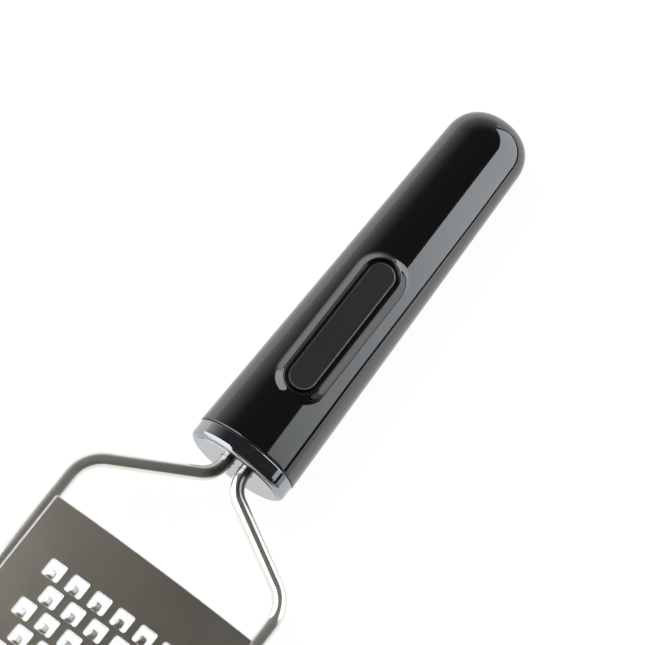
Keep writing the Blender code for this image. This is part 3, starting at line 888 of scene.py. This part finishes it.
@dataclass
class Blade:
    """The bowed sheet with staggered square holes and a curled tooth in each.

    Its blank's places are given along from the front edge, across, and as a rise off the sheet.
    """

    start: float = 0.035198567
    width: float = 0.0620
    length: float = 0.1160
    thickness: float = 0.0006
    bow: float = 0.0018
    seat: float = 0.002319901
    front_margin: float = 0.0133
    edge_rings: Triple = (0.0, 0.00008, 0.0003)
    pitch: float = 0.0071
    row_pitch: float = 0.0063
    rows: int = 14
    holes: int = 6
    hole: Pair = (0.0049, 0.0047)
    hole_corner: float = 0.0006
    ring_shares: tuple[float, ...] = (0.0, 0.07, 0.17, 0.42, 1.0)
    # Painted highlight round each hole, by ring.
    ring_painted_highlight: tuple[float, ...] = (1.0, 0.45, 0.0, 0.0, 0.0)
    root_fillet: float = 0.0003
    tooth_width: float = 0.0020
    tooth_length: float = 0.0025
    tooth_flat: float = 0.0008
    tooth_flat_ring: float = 0.00055
    tooth_curl: float = 0.0014
    tooth_tip: float = 0.0006
    curl_start: float = 0.0005
    curl_fade: float = 0.0005
    burr: float = 0.00005
    burr_share: float = 0.30
    burr_fade: float = 0.0004
    # Painted highlight on the teeth's curls, stronger towards +Y.
    painted_highlight_across: tuple[float, ...] = (-0.002, 0.007, 0.014, 0.021)
    painted_highlight: tuple[float, ...] = (0.0, 0.4, 0.75, 1.0)
    row_steps: int = 12
    side_steps: int = 8

    @property
    def bow_radius(self) -> float:
        """Radius of the arc across: half its chord squared plus its bow squared, over two bows."""
        return ((self.width / 2) ** 2 + self.bow ** 2) / (2 * self.bow)

    @property
    def blank_half(self) -> float:
        """Half of the flat blank's width, the arc over half of the chord."""
        return self.bow_radius * math.asin(self.width / 2 / self.bow_radius)

    def bowed(self, blank: Array) -> Array:
        """Bend the blank onto the bowed sheet.

        The place across becomes a turn about the bow's axis, and the rise adds to its radius.

        Args:
            blank: Places on the blank.

        Returns:
            The points in the frame's coordinates.
        """
        turn = blank[..., 1] / self.bow_radius
        reach = self.bow_radius + blank[..., 2]
        drop = math.sqrt(self.bow_radius ** 2 - (self.width / 2) ** 2)
        return points_of(SHIFT - self.start - blank[..., 0], reach * np.sin(turn),
                         WIRE_HEIGHT + self.seat + reach * np.cos(turn) - drop)

    @staticmethod
    def turned(outward: Array, tangent: Array, facing: float) -> Array:
        """Turn points given outwards and along a side to the side's own facing."""
        c, s = math.cos(facing), math.sin(facing)
        return np.stack([outward * c - tangent * s, outward * s + tangent * c], axis=-1)

    def outlines(self) -> tuple[Array, Array]:
        """Work out matching points round a hole and round its cell.

        Each side of the hole is half a corner's arc, its straight run, and half of the next arc.

        Returns:
            The hole's outline and the cell's, as places towards the handle and across.
        """
        inner, outer = [], []
        half_long, half_wide = self.hole[0] / 2, self.hole[1] / 2
        root = self.tooth_width / 2 + self.root_fillet
        arc = np.linspace(-math.pi / 4, 0.0, 4)[:-1]
        back_arc = np.linspace(0.0, math.pi / 4, 4)[1:-1]
        sides = ((half_long, half_wide, self.row_pitch / 2, self.pitch / 2, self.row_steps),
                 (half_wide, half_long, self.pitch / 2, self.row_pitch / 2, self.side_steps))
        for side in range(4):
            away, half, cell_away, cell_half, steps = sides[side % 2]
            facing = side * math.pi / 2
            run = half - self.hole_corner
            stops = (np.linspace(-run, run, 7),
                     np.array([-run, 0.0, run]),
                     np.array([-run, -root, -root / 2, 0.0, root / 2, root, run]),
                     np.array([-run, 0.0, run]))[side]
            outward = np.r_[away - self.hole_corner * (1 - np.cos(arc)), np.full(len(stops), away),
                            away - self.hole_corner * (1 - np.cos(back_arc))]
            tangent = np.r_[-run + self.hole_corner * np.sin(arc), stops,
                            run + self.hole_corner * np.sin(back_arc)]
            inner.append(self.turned(outward, tangent, facing))
            spots = np.linspace(-cell_half, cell_half, steps + 1)[:-1]
            outer.append(self.turned(np.full(steps, cell_away), spots, facing))
        return np.concatenate(inner), np.concatenate(outer)

    def cell(self) -> tuple[Array, Array]:
        """Work out a cell's rings from the hole out to its border.

        A ring is a share of the way from the hole's outline to the border's, and the sheet rises
        a little towards the hole, as punching from below leaves it.

        Returns:
            The rings, and how much painted highlight each point takes by its nearness to the hole.
        """
        inner, outer = self.outlines()
        shares = np.array(self.ring_shares)[:, None]
        rings = inner + shares[..., None] * (outer - inner)
        rise = self.burr * np.clip(1 - shares / self.burr_share, 0.0, 1.0) ** 2
        # Painted highlight round each hole's rim.
        painted_highlight = np.broadcast_to(np.array(self.ring_painted_highlight)[:, None], rings.shape[:2])
        return points_of(rings[..., 0], rings[..., 1], rise), painted_highlight

    def tooth(self) -> tuple[Array, Array]:
        """Work out a tooth's grid, root to tip.

        It narrows from the root in a quarter-circle fillet, runs flat, curls up on a circle, and
        its tip's corners are quarter circles.

        Returns:
            The grid, and how far each point lies into its curl, which takes painted highlight.
        """
        fillet, _ = quarter(self.root_fillet, 5)
        _, corner = quarter(self.tooth_tip, 6)
        middle = np.linspace(self.tooth_flat, self.tooth_length - self.tooth_tip, 6)[:-1]
        distance = np.r_[fillet, self.tooth_flat_ring, middle, self.tooth_length - corner][:, None]
        widen = np.clip(1 - distance / self.root_fillet, 0.0, 1.0)
        narrow = np.clip((distance - self.tooth_length + self.tooth_tip) / self.tooth_tip, 0.0, 1.0)
        half = self.tooth_width / 2 + self.root_fillet * (1 - np.sqrt(1 - widen ** 2))
        half -= self.tooth_tip * (1 - np.sqrt(np.clip(1 - narrow ** 2, 0.0, 1.0)))
        turn = np.maximum(distance - self.tooth_flat, 0.0) / self.tooth_curl
        reach = np.minimum(distance, self.tooth_flat) + self.tooth_curl * np.sin(turn)
        height = self.tooth_curl * (1 - np.cos(turn))
        height += self.burr * np.exp(-distance / self.burr_fade)
        grid = points_of(reach - self.hole[0] / 2, half * np.linspace(-1.0, 1.0, 5), height)
        curl = ease((distance - self.curl_start) / self.curl_fade)
        return grid, np.broadcast_to(curl, grid.shape[:2])

    def centres(self) -> Array:
        """Work out the middle of every hole: rows are staggered by half a pitch.

        Returns:
            The middles' places on the blank, along and across.
        """
        row = np.arange(self.rows)[:, None]
        along = self.front_margin + (row + 0.5) * self.row_pitch
        first = (1 - (2 * self.holes + 1) / 2) * self.pitch / 2
        shift = np.where(row % 2 == 0, self.pitch / 2, 0.0)
        across = first + shift + np.arange(self.holes) * self.pitch
        return np.stack(np.broadcast_arrays(along, across), axis=-1).reshape(-1, 2)

    def plain(self, skin: Skin, along: Array, across: Array) -> None:
        """Add a plain patch of the blank, marked with painted highlight along the sheet's outer
        edges.

        Args:
            skin: The mesh that it goes into.
            along: Its places along.
            across: Its places across.
        """
        grid = points_of(along[::-1, None], across, 0.0)
        edge = np.minimum(self.blank_half - np.abs(grid[..., 1]),
                          np.minimum(grid[..., 0], self.length - grid[..., 0]))
        # Painted highlight along the sheet's outer edges.
        mark = np.clip(1 - edge / self.edge_rings[-1], 0.0, 1.0)
        skin.sheet(self.bowed(grid), grid, mark)

    def from_edge(self, depth: float, steps: int) -> Array:
        """Return distances from an edge: its own close rings, then equal steps to a depth."""
        return np.r_[self.edge_rings[:-1], np.linspace(self.edge_rings[-1], depth, steps)]

    def margins(self, skin: Skin) -> None:
        """Add the plain sheet round the holes: both ends, both sides and the rows' ends.

        Args:
            skin: The mesh that it goes into.
        """
        steps = self.row_steps // 2
        cells = 2 * self.holes + 1
        block = cells * self.pitch / 4
        inside = np.linspace(-block, block, cells * steps + 1)
        side = self.from_edge(self.blank_half - block, 7)
        right, left = side - self.blank_half, (self.blank_half - side)[::-1]
        whole = np.r_[right[:-1], inside, left[1:]]
        first, last = self.front_margin, self.front_margin + self.rows * self.row_pitch
        rows = np.linspace(first, last, self.rows * self.side_steps + 1)
        self.plain(skin, self.from_edge(first, 9), whole)
        self.plain(skin, self.length - self.from_edge(self.length - last, 9)[::-1], whole)
        self.plain(skin, rows, left)
        self.plain(skin, rows, right)
        for row in range(self.rows):
            span = rows[row * self.side_steps:(row + 1) * self.side_steps + 1]
            self.plain(skin, span, inside[:steps + 1] if row % 2 == 0 else inside[-steps - 1:])

    def build(self) -> None:
        """Build the sheet, weld its patches, thicken it evenly and dress it."""
        rings, ring_near = self.cell()
        tooth, tooth_near = self.tooth()
        skin = Skin()
        for along, across in self.centres():
            # Painted highlight on the teeth's curls, stronger towards +Y where the light is
            # brighter.
            painted_highlight = float(np.interp(across, self.painted_highlight_across, self.painted_highlight))
            for part, near, closed in ((rings, ring_near, True),
                                       (tooth, tooth_near * painted_highlight, False)):
                blank = points_of(along - part[..., 0], across + part[..., 1], part[..., 2])
                skin.sheet(self.bowed(blank), blank, near, wrap=closed)
        self.margins(skin)
        piece = skin.piece("blade_satin_sheet", SATIN_BLADE.material(), Slot.BLADE, weld=4e-6,
                           sharp=50.0, stands_for=("grater_blade",))
        sheet = piece.modifiers.new("sheet", "SOLIDIFY")
        sheet.thickness = self.thickness
        sheet.offset = 0.0
        sheet.use_even_offset = True


@dataclass
class InnerCore:
    """The two halves of the inner block, which stay as the frame's own nodes."""

    names: tuple[str, ...] = ("tang_block_upper", "tang_block_lower")

    def dress(self, nodes: dict[str, bpy.types.Object]) -> None:
        """Give each half its moulded finish.

        Args:
            nodes: The frame's nodes by name.
        """
        for name in self.names:
            for slot in nodes[name].material_slots:
                slot.material = INNER_CORE.material()
            LOG.info("%s: dressed in its place", name)


@dataclass
class Studio:
    """White floor, a dark ceiling with bright walls, a soft box at the right, and the camera.

    Angles are in degrees. The box's places along the tool are in the frame's coordinates.
    """

    floor_reach: float = 6.0
    floor_white: float = 1.012
    floor_mirrored: float = 1.25
    floor_own_white: float = 0.95
    card_strengths: Pair = (0.6, 2.75)
    card_strength_span: Pair = (0.22, 0.45)
    card_tint: Quad = (0.94, 0.985, 1.02, 1.0)
    box_radius: float = 0.8
    box_start: float = 0.29
    box_bend: float = 0.45
    box_swing: float = 104.0
    box_turns: Pair = (22.0, 63.0)
    box_sinks: float = 19.0
    box_sink_run: float = 0.16
    box_sag: float = 28.0
    box_lift: float = 32.0
    box_lift_swings: Pair = (66.0, 38.0)
    box_corner: float = 0.04
    box_drawn: float = 0.06
    box_drawn_turns: Pair = (54.0, 7.0)
    box_shape_run: float = 0.06
    box_steps: tuple[int, int, int] = (40, 48, 30)
    gap_width: float = 6.5
    gap_seam: float = 0.02
    gap_foot: float = 89.8
    gap_swing: float = 15.0
    panel_back: float = 0.9
    panel_glow: float = 0.68
    panel_fade: float = 0.4
    panel_fade_swings: Pair = (66.0, 24.0)
    front_glow: float = 4.4
    front_radius: float = 0.6
    front_low: float = 1.5
    front_centre: float = -0.03
    front_bearings: tuple[float, ...] = (77.0, 120.0, 142.0, 157.0, 172.0)
    front_tops: tuple[float, ...] = (64.0, 64.0, 57.0, 36.0, 4.0)
    border_glow: float = 0.02
    border_seam: float = 0.05
    border_widths: Triple = (3.0, 2.0, 3.0)
    fill_power: float = 39.0
    fill_lean: float = 40.0
    fill_distance: float = 1.6
    fill_width: float = 1.6
    right_span: Pair = (-0.6, -0.1)
    right_dark: float = 3.2
    right_tint: Quad = (1.0, 0.9, 0.8, 1.0)
    walls: tuple[Pair, ...] = (
        (0.0, 0.95), (0.12, 0.72), (0.30, 0.47), (0.45, 0.29), (0.57, 0.16), (0.66, 0.08),
        (0.75, 0.055), (1.0, 0.05))
    lens: float = 247.515
    camera_place: Triple = (-0.29744613, -0.09590213, 1.10264623)
    camera_turn: Quad = (0.8835920129, 0.1110182821, -0.1238099873,
                                                      -0.4377341462)

    def surface(self, name: str, grid: Array, finish: bpy.types.Material) -> bpy.types.Object:
        """Make a sheet of the studio.

        Args:
            name: Its name.
            grid: Its points, rows by columns, in the frame's coordinates.
            finish: Its material.

        Returns:
            The object, in the scene.
        """
        rows, columns = grid.shape[:2]
        index = np.arange(rows * columns).reshape(rows, columns)
        faces = np.stack([index[:-1, :-1], index[1:, :-1], index[1:, 1:], index[:-1, 1:]], axis=-1)
        mesh = bpy.data.meshes.new(name)
        mesh.from_pydata(grid.reshape(-1, 3).tolist(), [], faces.reshape(-1, 4).tolist())
        mesh.materials.append(finish)
        made = bpy.data.objects.new(name, mesh)
        bpy.context.scene.collection.objects.link(made)
        return made

    def emitter(self, name: str, grid: Array, glow: Array) -> None:
        """Add a glowing card: its own glow times a gain that grows along the tool.

        Args:
            name: The card's name.
            grid: Its points, rows by columns, in the frame's coordinates.
            glow: The glow of each point.
        """
        lit = bpy.data.materials.new(name)
        lit.use_nodes = True
        lit.node_tree.nodes.clear()
        nodes = Nodes(lit.node_tree)
        along = nodes.parts(nodes.add("ShaderNodeTexCoord").outputs["Object"])["X"]
        gain = nodes.spread(along, *self.card_strengths, self.card_strength_span)
        own = nodes.add("ShaderNodeAttribute", attribute_name="glow").outputs["Fac"]
        strength = nodes.combine(gain, own, "MULTIPLY")
        light = nodes.add("ShaderNodeEmission", {"Color": self.card_tint, "Strength": strength})
        nodes.add("ShaderNodeOutputMaterial", {"Surface": light.outputs["Emission"]})
        card = self.surface(name, grid, lit)
        noted = card.data.attributes.new("glow", "FLOAT", "POINT")
        noted.data.foreach_set("value", glow.ravel().astype(np.float32))
        card.visible_camera = False

    def soft_box(self) -> None:
        """Add the long soft box, bent round the tool, with the dark gap and the panel under it.

        It is part of a tube about the handle's axis, and past the tool's tip each row bends round
        in an arc about the tube's end. Each row is a turn off the vertical, given as a share of
        the way down the box, the gap or the panel. The box's lower edge sinks along the tool and
        the panel ends at the floor. The box's near corner is rounded by a quarter circle, and its
        lower part starts earlier. In the bend the upper edge sinks by the cube of the way round,
        the gap swallows the panel and rises to meet the upper edge, and the panel fades.
        """
        straight, arc, down = self.box_steps
        way = np.linspace(0.0, 1.0, straight) ** 2
        along = np.r_[self.box_start + way * (self.box_bend - self.box_start),
                      np.full(arc, self.box_bend)]
        swing = np.r_[np.zeros(straight), np.linspace(0.0, self.box_swing, arc + 1)[1:]]
        sunk = np.clip((along - self.box_start) / self.box_sink_run, 0.0, 1.0) * self.box_sinks
        lower = self.box_turns[1] + sunk
        upper = self.box_turns[0] + self.box_sag * (swing / self.box_swing) ** 3
        lift = self.box_lift * ease((swing - self.box_lift_swings[0]) / self.box_lift_swings[1])
        gap_end = lower + self.gap_width - lift
        gap_end += (self.gap_foot - lower - self.gap_width) * ease(swing / self.gap_swing)
        lower = lower - lift
        share = np.linspace(0.0, 1.0, down)[:, None]
        box = upper + share * np.maximum(lower - upper, 0.01)
        gap = np.stack([lower + self.gap_seam, gap_end - self.gap_seam])
        panel = np.stack([gap_end, np.full(len(along), 90.0)])
        degrees = np.concatenate([box, gap, panel])
        turns = np.radians(degrees)
        fade = ease((swing - self.panel_fade_swings[0]) / self.panel_fade_swings[1])
        glow = np.ones(degrees.shape)
        glow[len(box):-2] = 0.0
        glow[-2:] = self.panel_glow * (1 - self.panel_fade * fade)
        below = (turns - turns[0]) * self.box_radius
        near = np.clip(self.box_corner - below, 0.0, self.box_corner)
        back = np.sqrt(self.box_corner ** 2 - near ** 2) - self.box_corner
        drawn = (degrees[:, :1] - self.box_drawn_turns[0]) / self.box_drawn_turns[1]
        back += self.box_drawn * ease(drawn)
        back[len(box):] = self.panel_back
        fresh = 1 - np.clip((along - self.box_start) / self.box_shape_run, 0.0, 1.0)
        side = self.box_radius * np.sin(turns)
        swing = np.radians(swing)
        grid = points_of(along - back * fresh + side * np.sin(swing), -side * np.cos(swing),
                         AXIS_HEIGHT + self.box_radius * np.cos(turns))
        self.emitter("soft_box_card", grid, glow)

    def front_card(self) -> None:
        """Add the card ahead of the tool and to its left: part of a ball round the blade's front.

        Its top sinks from bearing to bearing, and a narrow dark border frames it.
        """
        first, last = self.front_bearings[0], self.front_bearings[-1]
        seam, (before, after, above) = self.border_seam, self.border_widths
        bearing = np.r_[first - before, first - seam, np.linspace(first, last, 50), last + seam,
                        last + after]
        top = np.interp(bearing, self.front_bearings, self.front_tops)
        rise = self.front_low + np.linspace(0.0, 1.0, 12)[:, None] * (top - self.front_low)
        rise = np.radians(np.concatenate([rise, [top + seam, top + above]]))
        turn = np.radians(bearing)
        ball = points_of(np.cos(rise) * np.cos(turn), np.cos(rise) * np.sin(turn), np.sin(rise))
        grid = np.array([self.front_centre, 0.0, 0.0]) + self.front_radius * ball
        glow = np.full(rise.shape, self.front_glow)
        glow[-2:] = glow[:, :2] = glow[:, -2:] = self.border_glow
        self.emitter("front_card", grid, glow)

    def floor(self) -> None:
        """Add the white floor: its own white where it is seen, with the tool's soft shadow."""
        white = bpy.data.materials.new("studio_floor_white")
        white.use_nodes = True
        nodes = Nodes(white.node_tree)
        shader = white.node_tree.nodes["Principled BSDF"]
        for name, value in (("Base Color", (0.9, 0.9, 0.9, 1.0)), ("Roughness", 0.9),
                            ("Specular IOR Level", 0.0)):
            nodes.feed(shader.inputs[name], value)
        path = nodes.add("ShaderNodeLightPath").outputs
        seen = nodes.combine(path["Is Camera Ray"], path["Is Glossy Ray"], "MAXIMUM")
        seen = nodes.combine(seen, path["Is Transmission Ray"], "MAXIMUM")
        strength = nodes.spread(path["Is Glossy Ray"], self.floor_white, self.floor_mirrored)
        glow = nodes.add("ShaderNodeEmission", {"Strength": strength}).outputs["Emission"]
        mix = nodes.crossed(nodes.spread(seen, 0.0, self.floor_own_white), shader.outputs["BSDF"],
                            glow)
        nodes.feed(white.node_tree.nodes["Material Output"].inputs["Surface"], mix)
        reach = np.array([-self.floor_reach, self.floor_reach])
        ground = self.surface("studio_floor", points_of(reach[:, None], reach, 0.0), white)

    def world(self) -> None:
        """Set the world: bright at the horizon, dark overhead, and white where the camera sees it.

        On the tool's right the walls go dark lower down, and are warmer.
        """
        world = bpy.data.worlds.new("studio_walls")
        bpy.context.scene.world = world
        world.use_nodes = True
        world.node_tree.nodes.clear()
        nodes = Nodes(world.node_tree)
        facing = nodes.parts(nodes.add("ShaderNodeTexCoord").outputs["Generated"])
        right = nodes.spread(facing["Y"], 1.0, 0.0, self.right_span)
        rise = nodes.combine(facing["Z"], nodes.spread(right, 1.0, self.right_dark), "MULTIPLY")
        ramp = nodes.add("ShaderNodeValToRGB", {"Fac": rise})
        while len(ramp.color_ramp.elements) < len(self.walls):
            ramp.color_ramp.elements.new(0.5)
        for element, (at, value) in zip(ramp.color_ramp.elements, self.walls):
            element.position = at
            element.color = (value, value, value * 1.01, 1.0)
        tinted = nodes.mixed(right, ramp.outputs["Color"], self.right_tint, "MULTIPLY")
        walls, plain = (nodes.add("ShaderNodeBackground", {"Color": colour}).outputs["Background"]
                        for colour in (tinted, (1.0, 1.0, 1.0, 1.0)))
        seen = nodes.add("ShaderNodeLightPath").outputs["Is Camera Ray"]
        nodes.add("ShaderNodeOutputWorld", {"Surface": nodes.crossed(seen, walls, plain)})

    def fill(self) -> None:
        """Add the broad fill above the left side, which lights matt surfaces and isn't mirrored."""
        data = bpy.data.lights.new("overhead_fill", "AREA")
        data.shape = "DISK"
        data.size = self.fill_width
        data.energy = self.fill_power
        lamp = bpy.data.objects.new("overhead_fill", data)
        lean = np.radians(self.fill_lean)
        lamp.location = (0.0, self.fill_distance * np.sin(lean), self.fill_distance * np.cos(lean))
        lamp.rotation_euler = (-lean, 0.0, 0.0)
        lamp.visible_glossy = False
        lamp.visible_camera = False
        bpy.context.scene.collection.objects.link(lamp)

    def camera(self) -> None:
        """Add the camera at the photograph's viewpoint."""
        data = bpy.data.cameras.new("photo_camera")
        data.sensor_width = 36.0
        data.lens = self.lens
        data.clip_start = 0.05
        data.clip_end = 50.0
        seat = bpy.data.objects.new("photo_camera", data)
        seat.location = self.camera_place
        seat.rotation_mode = "QUATERNION"
        seat.rotation_quaternion = Quaternion(self.camera_turn)
        bpy.context.scene.collection.objects.link(seat)
        bpy.context.scene.camera = seat

    def build(self) -> None:
        """Set up the whole studio and the plain view transform."""
        self.floor()
        self.soft_box()
        self.front_card()
        self.world()
        self.fill()
        self.camera()
        bpy.context.scene.view_settings.view_transform = "Standard"


def main() -> None:
    """Load the frame, build and dress every piece, and set up the studio."""
    logging.basicConfig(level=logging.INFO, format="%(name)s %(message)s")
    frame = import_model()
    grip = Grip()
    grip.build()
    grip.badge()
    Ferrule(grip).build()
    WireLoop().build()
    Blade().build()
    InnerCore().dress(frame["nodes"])
    Studio().build()


if __name__ == "__main__":
    main()
